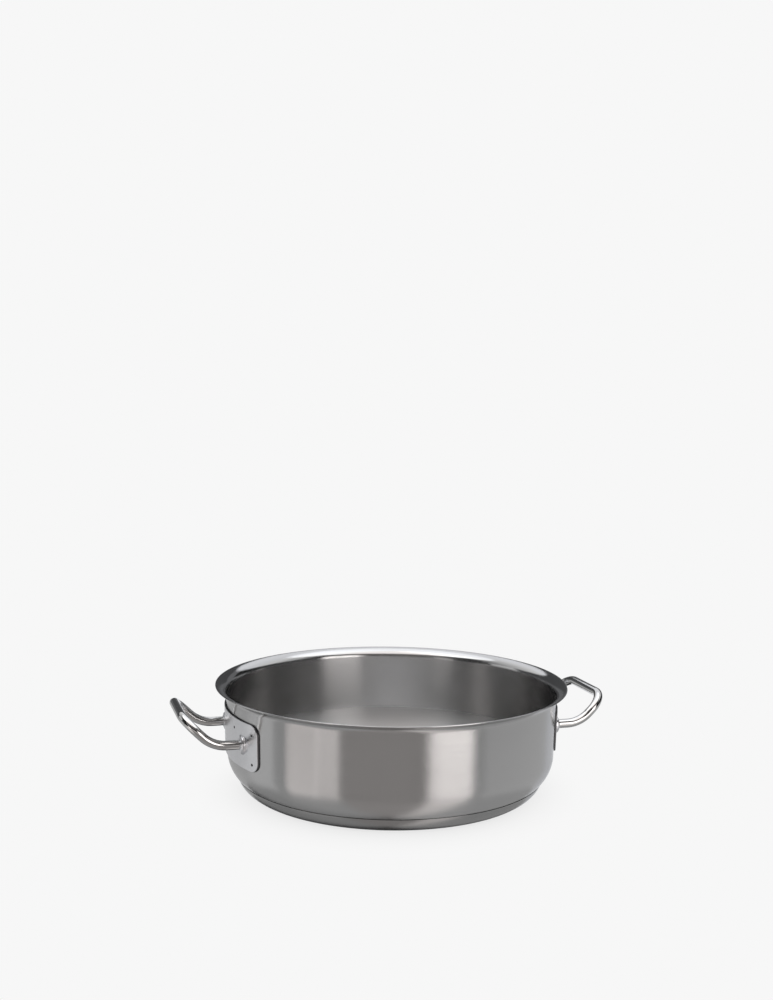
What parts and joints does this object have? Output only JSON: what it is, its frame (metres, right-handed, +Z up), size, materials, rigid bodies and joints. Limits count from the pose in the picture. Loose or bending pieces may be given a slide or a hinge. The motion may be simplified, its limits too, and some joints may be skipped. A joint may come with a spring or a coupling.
{
  "type": "low casserole pan",
  "caption": "Low round steel casserole with a flared pouring rim, a bonded sandwich base and bent bar handles on curved side plates.",
  "frame": {"origin": "centre of the underside of the base", "axes": "+Z up out of the pan's mouth, X through both handles, Y across them"},
  "size_m": [0.3738, 0.3002, 0.0932],
  "materials": {
    "pan_body": "satin",
    "base_core": "plain",
    "base_cap": "satin",
    "left_handle_plate": "polished",
    "left_handle_bar": "polished",
    "right_handle_plate": "polished",
    "right_handle_bar": "polished"
  },
  "bodies": {
    "root": {"pan_body": "pan_body", "base_core": "base_core", "base_cap": "base_cap", "left_handle_plate": "left_handle_plate", "left_handle_bar": "left_handle_bar", "right_handle_plate": "right_handle_plate", "right_handle_bar": "right_handle_bar"}
  },
  "joints": []
}
